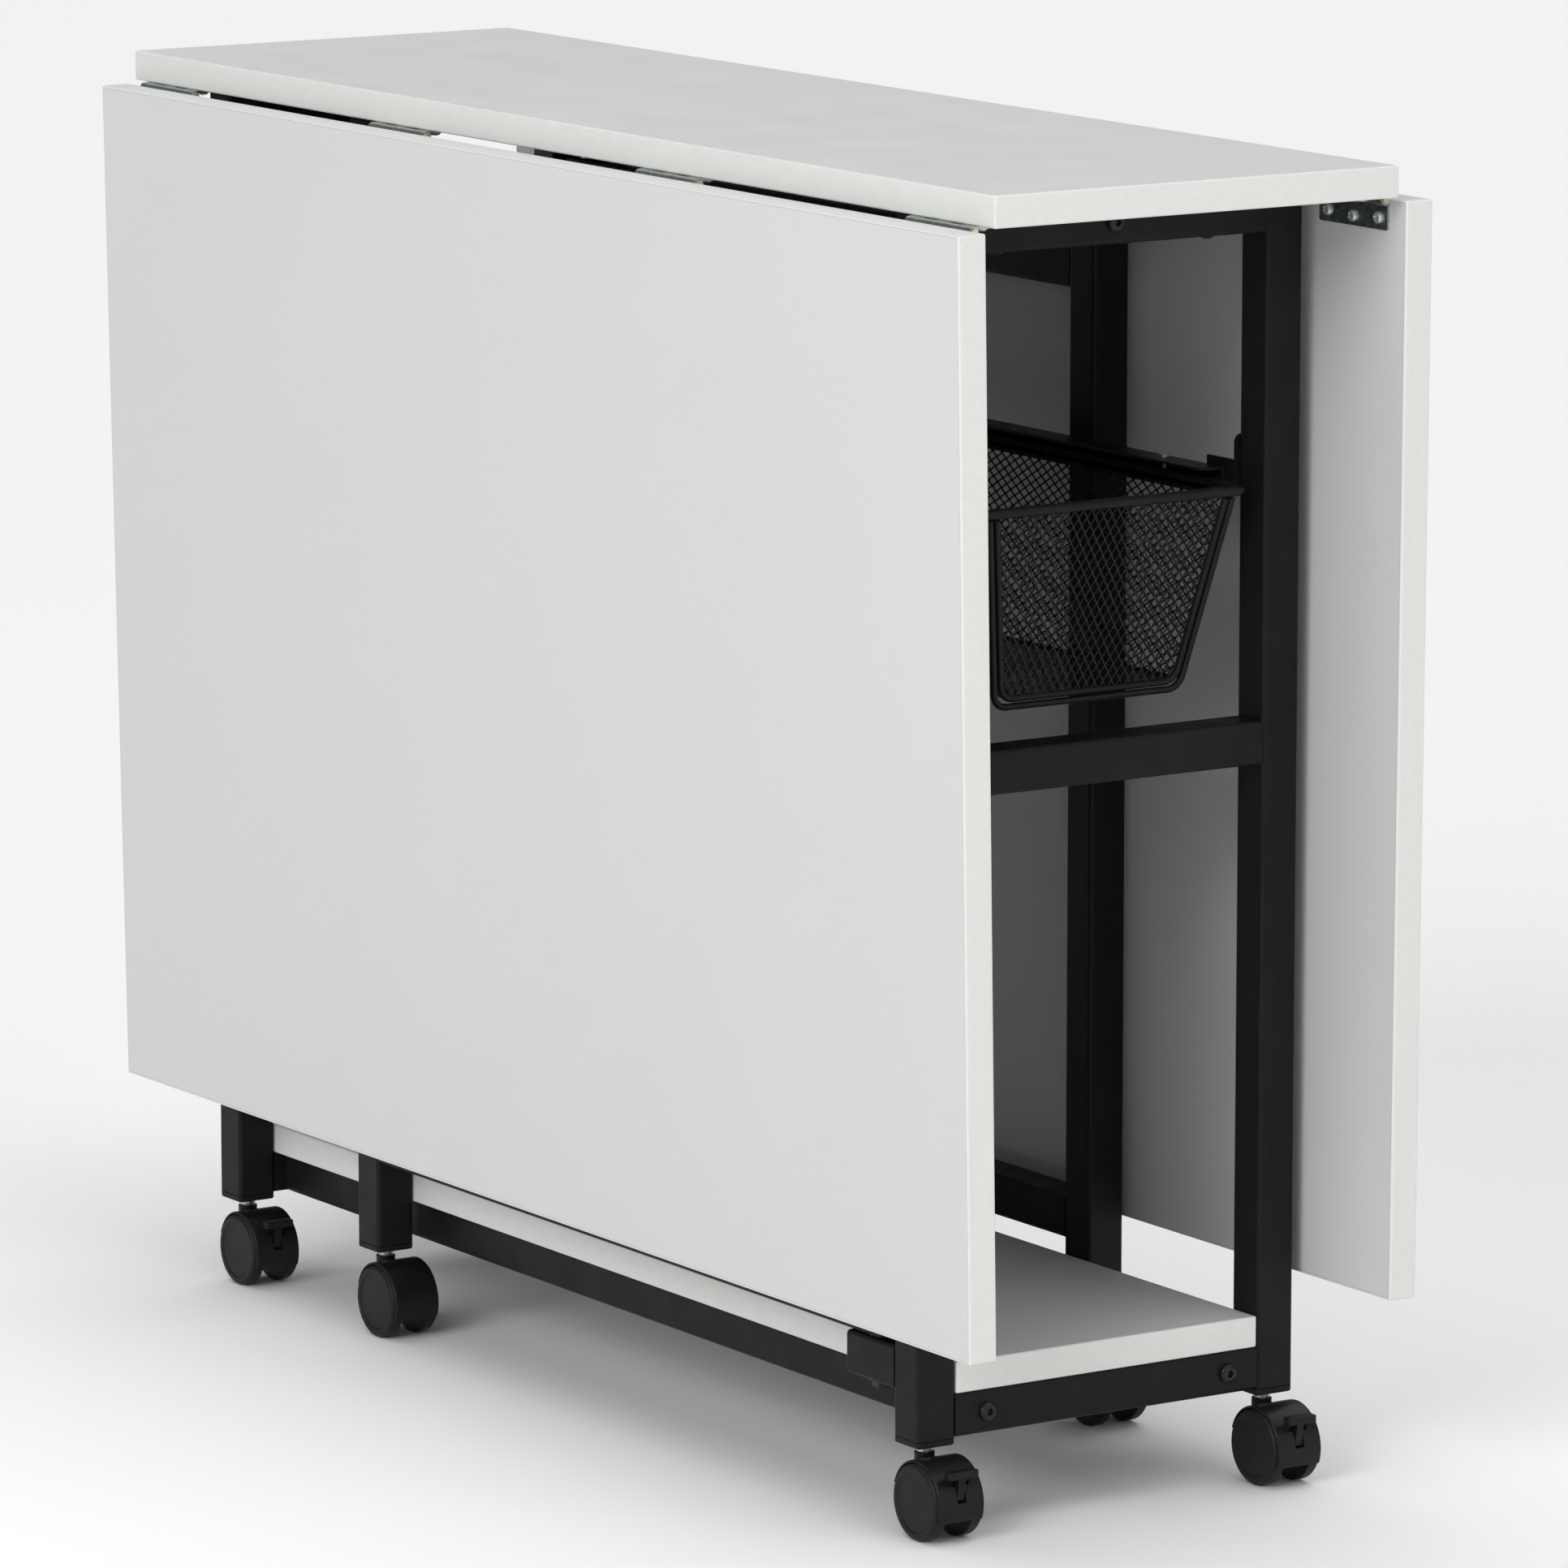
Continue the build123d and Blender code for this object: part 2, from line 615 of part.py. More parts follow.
def runner(side):
    """Channel that is open towards the basket and carries its rim."""
    with BuildPart() as channel:
        with BuildSketch(axis_plane((-runner_end, 0, 0), (1, 0, 0))):
            middle = RUNNER_BOTTOM + RUNNER_HEIGHT / 2
            with Locations((side * (RUNNER_WEB_Y - RUNNER_DEPTH / 2), middle)):
                Rectangle(RUNNER_DEPTH, RUNNER_HEIGHT)
            with Locations((side * (RUNNER_WEB_Y - RUNNER_DEPTH / 2 - RUNNER_SHEET), middle)):
                Rectangle(RUNNER_DEPTH, RUNNER_HEIGHT - 2 * RUNNER_SHEET, mode=Mode.SUBTRACT)
        extrude(amount=2 * runner_end)
        tips = channel.edges().filter_by(Axis.Z).filter_by(lambda e: e.length < 2 * RUNNER_SHEET)
        fillet(tips.sort_by(lambda e: abs(e.center().Y))[:4], RUNNER_TIP)
        for x in RIVET_XS:
            start = (x, side * (RUNNER_WEB_Y - RIVET_INSET), RUNNER_BOTTOM)
            cylinder_cut(start, (0, 0, 1), RIVET_RADIUS + HOLE_SLACK, RUNNER_HEIGHT)
    return channel.part


def runner_bracket(side_x, side_y):
    """Folded bracket that joins the end of a runner to the inside of a post."""
    plate_bottom = RUNNER_BOTTOM - BRACKET_SHEET
    plate_y = side_y * (RUNNER_WEB_Y + BRACKET_SHEET / 2)
    tab_y = side_y * (RUNNER_WEB_Y + BRACKET_SHEET - 0.5 + TAB_WIDTH / 2)
    with BuildPart() as bracket:
        with BuildSketch(Plane.XY.offset(plate_bottom)):
            with Locations((side_x * (frame_in_x - BRACKET_LENGTH / 2), plate_y)):
                Rectangle(BRACKET_LENGTH, BRACKET_SHEET)
        extrude(amount=BRACKET_TOP - plate_bottom)
        tab_middle = (side_x * frame_in_x, tab_y, plate_bottom + TAB_HEIGHT / 2)
        with BuildSketch(Plane(origin=tab_middle, x_dir=(0, 1, 0), z_dir=(-side_x, 0, 0))):
            RectangleRounded(TAB_WIDTH, TAB_HEIGHT, TAB_CORNER)
        extrude(amount=BRACKET_SHEET)
    return bracket.part


def runner_rivet(x, side):
    """Shiny rivet through both flanges of a runner, just outside the basket rim."""
    y = side * (RUNNER_WEB_Y - RIVET_INSET)
    with BuildPart() as rivet:
        with BuildSketch(Plane.XY.offset(RUNNER_BOTTOM + RUNNER_HEIGHT)):
            with Locations((x, y)):
                Circle(RIVET_HEAD)
        extrude(amount=1.2)
        with BuildSketch(Plane.XY.offset(RUNNER_BOTTOM)):
            with Locations((x, y)):
                Circle(RIVET_RADIUS)
        extrude(amount=RUNNER_HEIGHT)
    return rivet.part


write(group([runner(side) for side in (-1, 1)]), "basket_runners")
write(group([runner_bracket(sx, sy) for sx in (-1, 1) for sy in (-1, 1)]), "runner_brackets")
write(group([runner_rivet(x, sy) for x in RIVET_XS for sy in (-1, 1)]), "runner_rivets")

basket_middle = sum(BASKET_X) / 2
basket_half = (BASKET_X[1] - BASKET_X[0]) / 2
basket_bottom = BASKET_RIM_Z - BASKET_DEPTH
wire_top = BASKET_RIM_Z - RIM_RADIUS - 0.6


def basket_corner(sx, sy, z, inset_x=0.0, inset_y=0.0):
    """Corner of the tapering basket at a height, drawn in by an inset along each wall."""
    down = (BASKET_RIM_Z - z) / BASKET_DEPTH
    x = basket_middle + sx * (basket_half - BASKET_TAPER_X * down - inset_x)
    y = sy * (BASKET_TOP_Y - BASKET_TAPER_Y * down - inset_y)
    return Vector(x, y, z)


def wire_along(points, radius):
    """Round wire with bent corners through the points."""
    with BuildPart() as wire:
        with BuildLine() as path:
            FilletPolyline(*points, radius=WIRE_BEND)
        with BuildSketch(Plane(origin=path.line @ 0, z_dir=path.line % 0)):
            Circle(radius)
        sweep(path=path.line)
    return wire.part


with BuildPart() as basket_rim:
    size_x = BASKET_X[1] - BASKET_X[0]
    with BuildLine(Plane.XY.offset(BASKET_RIM_Z)) as rim_path:
        for sx in (-1, 1):
            for sy in (-1, 1):
                centre = (basket_middle + sx * (size_x / 2 - RIM_CORNER), sy * (BASKET_RIM_Y - RIM_CORNER))
                start = math.degrees(math.atan2(sy, sx)) - 45
                CenterArc(centre, RIM_CORNER, start, 90)
        for sy in (-1, 1):
            y = sy * BASKET_RIM_Y
            Line((BASKET_X[0] + RIM_CORNER, y), (BASKET_X[1] - RIM_CORNER, y))
        for x in BASKET_X:
            Line((x, -BASKET_RIM_Y + RIM_CORNER), (x, BASKET_RIM_Y - RIM_CORNER))
    with BuildSketch(axis_plane((basket_middle, -BASKET_RIM_Y, BASKET_RIM_Z), (1, 0, 0))):
        Circle(RIM_RADIUS)
    sweep(path=rim_path.wires()[0])
write(basket_rim.part, "basket_rim")

wires = []
side_inset = 2 * WIRE_RADIUS + 0.6
for sx in (-1, 1):
    for drawn_in in (0, side_inset):
        lower = basket_bottom + drawn_in
        corners = [(-1, wire_top), (-1, lower), (1, lower), (1, wire_top)]
        points = [basket_corner(sx, sy, z, 0, drawn_in) for sy, z in corners]
        wires.append(wire_along(points, WIRE_RADIUS))
    wires.append(wire_along([basket_corner(end, sx, z, side_inset, 0) for end, z in corners], WIRE_RADIUS))
write(group(wires), "basket_frame")


def mesh_panel(corners, inward):
    """Thin flat panel inside its border wires."""
    middle = sum(corners, Vector(0, 0, 0)) / len(corners)
    along = (corners[1] - corners[0]).normalized()
    across = along.cross(corners[2] - corners[1]).normalized()
    if across.dot(inward) < 0:
        across = across * -1
    plane = Plane(origin=middle, x_dir=along, z_dir=across)
    outline = [plane.to_local_coords(corner) for corner in corners]
    with BuildPart() as panel:
        with BuildSketch(plane.offset(-MESH_SHEET / 2)):
            with BuildLine():
                Polyline(*[(p.X, p.Y) for p in outline], close=True)
            make_face()
        extrude(amount=MESH_SHEET)
        upright = [e for e in panel.edges() if e.length < 2 * MESH_SHEET]
        fillet(upright, WIRE_BEND)
    return panel.part


panels = []
edge = WIRE_RADIUS + 0.5
inset = side_inset + edge
high = wire_top - 0.6
low = basket_bottom + inset
panel_corners = ((-1, low), (1, low), (1, high), (-1, high))
for sx in (-1, 1):
    corners = [basket_corner(sx, sy, z, 0, inset) for sy, z in panel_corners]
    panels.append(mesh_panel(corners, Vector(-sx, 0, 0)))
    corners = [basket_corner(end, sx, z, inset, 0) for end, z in panel_corners]
    panels.append(mesh_panel(corners, Vector(0, -sx, 0)))
floor_z = basket_bottom + side_inset
corners = [basket_corner(ex, ey, floor_z, inset, inset) for ex, ey in ((-1, -1), (1, -1), (1, 1), (-1, 1))]
panels.append(mesh_panel(corners, Vector(0, 0, 1)))
flange_in = BASKET_TOP_Y + 1.5
flange_out = BASKET_RIM_Y - RIM_RADIUS - 0.1
for sy in (-1, 1):
    with BuildPart() as flange:
        with BuildSketch(Plane.XY.offset(BASKET_RIM_Z)):
            with Locations((basket_middle, sy * (flange_in + flange_out) / 2)):
                Rectangle(2 * (basket_half - RIM_CORNER), flange_out - flange_in)
        extrude(amount=MESH_SHEET)
    panels.append(flange.part)
write(group(panels), "basket_mesh")


# ---------------------------------------------------------------- casters


def across_plane(x, y, z, way):
    """Plane at a point that faces along Y, forwards or backwards, with its x axis along X."""
    return Plane(origin=(x, y, z), x_dir=(1, 0, 0), z_dir=(0, way, 0))


def side_disc(x, z, radius, start, length):
    """Disc across Y about the point x, z, from y = start for a length, added to the part being built."""
    way = 1 if length > 0 else -1
    with BuildSketch(across_plane(x, start, z, way), mode=Mode.PRIVATE) as disc:
        Circle(radius)
    extrude(disc.sketch, amount=abs(length))


def caster_hood(x, y, braked):
    """Hood with a web between the wheels, a fender over each wheel and a neck for the stem."""
    axle_x = x + CASTER_TRAIL
    with BuildPart() as hood:
        side_disc(axle_x, WHEEL_RADIUS, HOOD_RADIUS, y - HOOD_HALF_WIDTH, 2 * HOOD_HALF_WIDTH)
        fillet(hood.edges().filter_by(GeomType.CIRCLE), 1.0)
        for side in (-1, 1):
            with BuildSketch(across_plane(axle_x, y + side * HOOD_WEB_HALF, WHEEL_RADIUS, side)):
                Circle(WHEEL_POCKET)
            extrude(amount=HOOD_HALF_WIDTH, mode=Mode.SUBTRACT)
            # The fender is cut back along a slope at the front, below the neck.
            with BuildSketch(across_plane(0, y + side * HOOD_WEB_HALF, 0, -1)):
                with BuildLine():
                    Polyline(
                        (axle_x - 30, -5),
                        (axle_x + 30, -5),
                        (axle_x + 30, HOOD_BOTTOM),
                        (axle_x + 12, HOOD_BOTTOM),
                        (axle_x - 30, 33),
                        close=True,
                    )
                make_face()
            extrude(amount=-side * HOOD_HALF_WIDTH, mode=Mode.SUBTRACT)
        with BuildSketch(Plane.XY.offset(HOOD_BOTTOM)):
            with Locations((axle_x, y)):
                Rectangle(80, 60)
        extrude(amount=-20, mode=Mode.SUBTRACT)
        neck_base = WHEEL_RADIUS + AXLE_RADIUS + 2
        with BuildSketch(Plane.XY.offset(neck_base)):
            with Locations((x, y)):
                Circle(NECK_RADIUS)
        extrude(amount=NECK_TOP - neck_base)
        cylinder_cut((x, y, neck_base + 1), (0, 0, 1), STEM_PIN_RADIUS + RUNNING_FIT, 40)
        if braked:
            with BuildSketch(Plane.XY.offset(SLOT_BOTTOM)):
                with Locations((axle_x + HOOD_RADIUS - SLOT_DEPTH / 2 + 1, y)):
                    Rectangle(SLOT_DEPTH + 2, SLOT_WIDTH)
            extrude(amount=SLOT_TOP - SLOT_BOTTOM, mode=Mode.SUBTRACT)
            with BuildSketch(Plane.XY.offset(SLOT_TOP - RECESS_HEIGHT)):
                with Locations((axle_x + HOOD_RADIUS - 1, y)):
                    Rectangle(RECESS_DEPTH, RECESS_WIDTH)
            extrude(amount=RECESS_HEIGHT, mode=Mode.SUBTRACT)
            pin_start = y - SLOT_WIDTH / 2 - 0.5
            side_disc(axle_x + LEVER_PIVOT_X, LEVER_PIVOT_Z, LEVER_PIN, pin_start, SLOT_WIDTH + 1)
        with BuildSketch(across_plane(axle_x, y - 20, WHEEL_RADIUS, 1)):
            Circle(AXLE_RADIUS)
        extrude(amount=40, mode=Mode.SUBTRACT)
    with BuildPart() as axle:
        half = WHEEL_INNER_Y + 5.5
        side_disc(axle_x, WHEEL_RADIUS, AXLE_RADIUS, y - half, 2 * half)
    return group([hood.part, axle.part])


def caster_wheel(x, y, side):
    """Plain disc wheel with a rounded tread, a dished outer face and a blind bore."""
    axle_x = x + CASTER_TRAIL
    inner = y + side * WHEEL_INNER_Y
    outer = inner + side * WHEEL_WIDTH
    with BuildPart() as wheel:
        side_disc(axle_x, WHEEL_RADIUS, WHEEL_RADIUS, inner, side * WHEEL_WIDTH)
        rims = wheel.edges().filter_by(GeomType.CIRCLE).sort_by(Axis.Y)
        fillet(rims[-1] if side > 0 else rims[0], TREAD_OUTER_EDGE)
        fillet(rims[0] if side > 0 else rims[-1], TREAD_INNER_EDGE)
        with BuildSketch(across_plane(axle_x, outer, WHEEL_RADIUS, -side)):
            Circle(DISH_RADIUS)
        extrude(amount=DISH_DEPTH, taper=DISH_TAPER, mode=Mode.SUBTRACT)
        with BuildSketch(across_plane(axle_x, inner, WHEEL_RADIUS, side)):
            Circle(AXLE_RADIUS + RUNNING_FIT)
        extrude(amount=WHEEL_BORE, mode=Mode.SUBTRACT)
    return wheel.part


def caster_brake(x, y):
    """T shaped brake lever that pivots in the slot at the back of the hood."""
    axle_x = x + CASTER_TRAIL
    bar_back = axle_x + LEVER_TIP_X - LEVER_BAR_DEPTH
    with BuildPart() as lever:
        with BuildSketch(across_plane(0, y - LEVER_WIDTH / 2, 0, -1)):
            with BuildLine():
                Polyline(
                    (axle_x + LEVER_PIVOT_X - 1.8, LEVER_PIVOT_Z - 2.3),
                    (axle_x + LEVER_PIVOT_X + 2.6, LEVER_PIVOT_Z - 2.3),
                    (axle_x + LEVER_STEM_X, LEVER_BAR_Z),
                    (axle_x + LEVER_STEM_X, LEVER_BAR_Z + 1),
                    (bar_back, LEVER_BAR_Z + 1),
                    (bar_back, SLOT_TOP - 0.1),
                    (axle_x + LEVER_PIVOT_X - 1.8, SLOT_TOP - 0.9),
                    close=True,
                )
            make_face()
        extrude(amount=-LEVER_WIDTH)
        with BuildSketch(Plane.XY.offset(LEVER_BAR_Z)):
            with Locations((axle_x + LEVER_TIP_X - LEVER_BAR_DEPTH / 2, y)):
                RectangleRounded(LEVER_BAR_DEPTH, LEVER_BAR_WIDTH, 1.2)
        extrude(amount=LEVER_BAR_HEIGHT)
        fillet(lever.edges().group_by(Axis.Z)[-1], 0.8)
        with BuildSketch(across_plane(axle_x + LEVER_PIVOT_X, y - 10, LEVER_PIVOT_Z, 1)):
            Circle(LEVER_PIN + RUNNING_FIT)
        extrude(amount=20, mode=Mode.SUBTRACT)
    return lever.part


def caster_stem(x, y):
    """Steel stem: a shank in the foot cap, a bright collar under it and a pin that the hood turns on."""
    with BuildPart() as stem:
        with BuildSketch(Plane.XY.offset(NECK_TOP + 0.6)):
            with Locations((x, y)):
                Circle(COLLAR_RADIUS)
        extrude(amount=cap_bottom - NECK_TOP - 0.6)
        with BuildSketch(Plane.XY.offset(cap_bottom)):
            with Locations((x, y)):
                Circle(STEM_RADIUS)
        extrude(amount=24)
        with BuildSketch(Plane.XY.offset(WHEEL_RADIUS + AXLE_RADIUS + 4)):
            with Locations((x, y)):
                Circle(STEM_PIN_RADIUS)
        extrude(amount=NECK_TOP - WHEEL_RADIUS - AXLE_RADIUS - 3)
    return stem.part


corner_names = {(-1, -1): "front_left", (-1, 1): "rear_left", (1, -1): "front_right", (1, 1): "rear_right"}
caster_places = {name: (sx * post_x, sy * post_y, True) for (sx, sy), name in corner_names.items()}
caster_places["front_gate"] = (-GATE_POST_X, -post_y, False)
caster_places["rear_gate"] = (GATE_POST_X, post_y, False)

for place, (x, y, braked) in caster_places.items():
    write(caster_hood(x, y, braked), f"{place}_caster_hood")
    write(caster_wheel(x, y, -1), f"{place}_outer_wheel" if y < 0 else f"{place}_inner_wheel")
    write(caster_wheel(x, y, 1), f"{place}_inner_wheel" if y < 0 else f"{place}_outer_wheel")
    if braked:
        write(caster_brake(x, y), f"{place}_brake_lever")
    else:
        write(caster_stem(x, y), f"{place}_stem")
write(group([caster_stem(x, y) for x, y in corner_posts]), "corner_stems")
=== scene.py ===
import json
import math
import random

import bmesh
import bpy
import numpy as np
from mathutils import Matrix, Vector

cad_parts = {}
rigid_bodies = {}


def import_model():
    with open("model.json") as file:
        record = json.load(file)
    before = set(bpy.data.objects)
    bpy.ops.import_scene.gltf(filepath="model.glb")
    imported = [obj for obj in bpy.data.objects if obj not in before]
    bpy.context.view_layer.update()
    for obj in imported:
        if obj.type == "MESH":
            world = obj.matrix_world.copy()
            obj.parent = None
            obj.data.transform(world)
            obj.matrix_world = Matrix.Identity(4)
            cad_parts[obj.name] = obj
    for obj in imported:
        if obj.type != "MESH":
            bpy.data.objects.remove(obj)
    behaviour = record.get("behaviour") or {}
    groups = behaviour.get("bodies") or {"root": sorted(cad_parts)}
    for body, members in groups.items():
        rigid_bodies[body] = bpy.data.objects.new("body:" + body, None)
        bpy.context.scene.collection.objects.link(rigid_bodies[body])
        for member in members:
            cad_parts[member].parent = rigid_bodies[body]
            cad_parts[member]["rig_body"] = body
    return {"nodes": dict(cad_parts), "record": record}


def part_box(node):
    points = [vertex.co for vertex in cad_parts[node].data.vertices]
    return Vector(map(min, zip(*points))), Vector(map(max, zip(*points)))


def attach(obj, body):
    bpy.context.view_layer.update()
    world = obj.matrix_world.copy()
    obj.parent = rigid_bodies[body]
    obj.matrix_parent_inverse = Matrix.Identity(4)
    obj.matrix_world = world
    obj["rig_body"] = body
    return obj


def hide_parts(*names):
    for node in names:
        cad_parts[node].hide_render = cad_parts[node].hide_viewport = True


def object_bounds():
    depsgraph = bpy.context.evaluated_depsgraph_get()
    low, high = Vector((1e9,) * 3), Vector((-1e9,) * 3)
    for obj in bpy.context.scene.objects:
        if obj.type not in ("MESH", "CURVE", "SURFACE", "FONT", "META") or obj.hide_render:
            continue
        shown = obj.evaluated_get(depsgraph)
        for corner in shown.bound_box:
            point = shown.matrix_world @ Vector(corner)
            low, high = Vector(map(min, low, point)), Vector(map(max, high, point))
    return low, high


# A folded gateleg table on casters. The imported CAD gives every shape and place. This script adds the
# finishes, the open diamond mesh of the basket, the screws with their cross recesses, the floor, the
# lights and the camera. Metres throughout.

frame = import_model()
cad_low, cad_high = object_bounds()
nodes = frame["nodes"]
slot_of = {part["node"]: part["material_slot"] for part in frame["record"]["subparts"]}
WELD = 1e-6  # points of a CAD mesh closer than this are one point
MM = 0.001


# ---------------------------------------------------------------- node helpers


class Finish:
    """A node material, with short names for the nodes that the finishes share."""

    def __init__(self, name):
        self.material = bpy.data.materials.new(name)
        self.material.use_nodes = True
        self.tree = self.material.node_tree
        self.shader = self.tree.nodes["Principled BSDF"]
        self.coordinates = self.tree.nodes.new("ShaderNodeTexCoord")

    def node(self, kind, settings=None, **inputs):
        made = self.tree.nodes.new(kind)
        for key, value in (settings or {}).items():
            setattr(made, key, value)
        for key, value in inputs.items():
            self.feed(made, key.replace("_", " "), value)
        return made

    def feed(self, node, socket, value):
        target = node.inputs[socket]
        if isinstance(value, bpy.types.NodeSocket):
            self.tree.links.new(value, target)
        else:
            target.default_value = value

    def math(self, operation, first, second=None, clamp=False):
        made = self.tree.nodes.new("ShaderNodeMath")
        made.operation = operation
        made.use_clamp = clamp
        for i, value in enumerate([first, second]):
            if value is None:
                continue
            if isinstance(value, bpy.types.NodeSocket):
                self.tree.links.new(value, made.inputs[i])
            else:
                made.inputs[i].default_value = value
        return made.outputs[0]

    def noise(self, size, detail=2.0, roughness=0.5, stretch=None):
        """Noise whose features are about size metres across, from 0 to 1."""
        place = self.coordinates.outputs["Object"]
        if stretch:
            scaled = self.node("ShaderNodeMapping", Vector=place, Scale=stretch)
            place = scaled.outputs["Vector"]
        scale = 1 / size
        made = self.node("ShaderNodeTexNoise", Vector=place, Scale=scale, Detail=detail, Roughness=roughness)
        return made.outputs["Fac"]

    def span(self, value, low, high, out_low=0.0, out_high=1.0):
        made = self.tree.nodes.new("ShaderNodeMapRange")
        made.clamp = True
        for key, number in (("From Min", low), ("From Max", high), ("To Min", out_low), ("To Max", out_high)):
            made.inputs[key].default_value = number
        self.tree.links.new(value, made.inputs["Value"])
        return made.outputs["Result"]

    def blend(self, fraction, first, second):
        made = self.tree.nodes.new("ShaderNodeMix")
        made.data_type = "RGBA"
        sockets = [s for s in made.inputs if s.type == "RGBA"]
        for target, value in ((made.inputs["Factor"], fraction), (sockets[0], first), (sockets[1], second)):
            if isinstance(value, bpy.types.NodeSocket):
                self.tree.links.new(value, target)
            else:
                target.default_value = value if isinstance(value, float) else (*value, 1.0)
        return [s for s in made.outputs if s.type == "RGBA"][0]

    def bump(self, height, depth, strength=1.0):
        made = self.node("ShaderNodeBump", Height=height, Strength=strength, Distance=depth)
        self.feed(self.shader, "Normal", made.outputs["Normal"])

    def set(self, **values):
        for key, value in values.items():
            name = key.replace("_", " ")
            if isinstance(value, tuple):
                value = (*value, 1.0)
            self.feed(self.shader, name, value)
        return self


BANDING = 1.5 * MM  # thickness of the boards' edge banding
SEAM_HALF = 0.30 * MM  # half width of the soft line beside it
SEAM_CORE = 0.12 * MM  # half width of that line's dark core
BOARD_PEBBLE = 0.00004  # height of the pressed texture


def board_finish(name, face_axis, low, high, face, band):
    """White melamine with a fine pressed texture, pale edge banding and the thin line where they meet.
    face_axis is the axis that the board is thin along, low and high are its corners."""
    made = Finish(name)
    facing = made.node("ShaderNodeSeparateXYZ", Vector=made.coordinates.outputs["Normal"])
    place = made.node("ShaderNodeSeparateXYZ", Vector=made.coordinates.outputs["Object"])
    on_face = made.math("ABSOLUTE", facing.outputs[face_axis])
    banding = made.span(on_face, 0.75, 0.6)
    margins = []
    for axis in range(3):
        if axis == "XYZ".index(face_axis):
            continue
        middle = (low[axis] + high[axis]) / 2
        half = (high[axis] - low[axis]) / 2
        offset = made.math("ABSOLUTE", made.math("SUBTRACT", place.outputs["XYZ"[axis]], middle))
        margins.append(made.math("SUBTRACT", half, offset))
    margin = made.math("MINIMUM", *margins)
    from_seam = made.math("ABSOLUTE", made.math("SUBTRACT", margin, BANDING))
    not_banding = made.math("SUBTRACT", 1.0, banding)
    seam = made.math("MULTIPLY", made.span(from_seam, SEAM_HALF, SEAM_CORE), not_banding)
    strip = made.math("MULTIPLY", made.span(margin, BANDING, BANDING - 0.2 * MM), not_banding)
    cloud = made.noise(0.16, detail=3.0)
    speck = made.noise(0.0011, detail=1.0)
    shade = made.blend(made.span(cloud, 0.3, 0.7), tuple(c * 0.985 for c in face), face)
    shade = made.blend(made.span(speck, 0.35, 0.75, 0.0, 0.35), shade, tuple(c * 0.955 for c in face))
    grain = made.noise(0.004, detail=4.0, stretch=(0.35, 1.0, 1.0))
    edge = made.blend(made.span(grain, 0.3, 0.7), tuple(c * 0.965 for c in band), band)
    if face_axis == "Y":
        # The long edges of a leaf are wrapped in the face's own foil.
        upright = made.math("ABSOLUTE", facing.outputs["Z"])
        edge = made.blend(made.span(upright, 0.6, 0.75), edge, face)
    colour = made.blend(made.math("MAXIMUM", banding, strip), shade, edge)
    colour = made.blend(made.math("MULTIPLY", seam, 0.55), colour, tuple(c * 0.55 for c in face))
    texture = made.math("ADD", made.noise(0.0016, detail=3.0), made.math("MULTIPLY", made.noise(0.006), 0.6))
    made.bump(texture, BOARD_PEBBLE, 0.55)
    rough = made.span(made.noise(0.05, detail=4.0), 0.3, 0.7, 0.46, 0.56)
    return made.set(Base_Color=colour, Roughness=rough, Specular_IOR_Level=0.32)


def coated_finish(name, colour, rough, grain=0.0009, depth=0.00006, specular=0.35):
    """Black coating on steel or moulded plastic: fine orange peel, uneven sheen, a breath of dust."""
    made = Finish(name)
    peel = made.math("ADD", made.noise(grain, detail=2.0), made.math("MULTIPLY", made.noise(grain * 4), 0.5))
    made.bump(peel, depth, 0.6)
    dust = made.span(made.noise(0.03, detail=5.0, roughness=0.6), 0.45, 0.8, 0.0, 0.5)
    lifted = tuple(c * 1.5 + 0.002 for c in colour)
    tint = made.blend(dust, colour, lifted)
    sheen = made.span(made.noise(0.02, detail=4.0), 0.3, 0.7, rough - 0.05, rough + 0.06)
    return made.set(Base_Color=tint, Roughness=sheen, Specular_IOR_Level=specular)


def plated_finish(name, colour, tarnish, rough, metallic, brushed=None):
    """Plated metal with faint passivation clouds and fine drawn lines."""
    made = Finish(name)
    cloud = made.span(made.noise(0.008, detail=4.0), 0.35, 0.7)
    tint = made.blend(cloud, colour, tarnish)
    if brushed:
        made.bump(made.noise(0.0008, detail=2.0, stretch=brushed), 0.000003, 0.4)
    sheen = made.span(made.noise(0.004, detail=3.0), 0.3, 0.7, rough - 0.06, rough + 0.08)
    return made.set(Base_Color=tint, Roughness=sheen, Metallic=metallic)


FACE = (0.665, 0.662, 0.672)
BAND = (0.745, 0.75, 0.725)

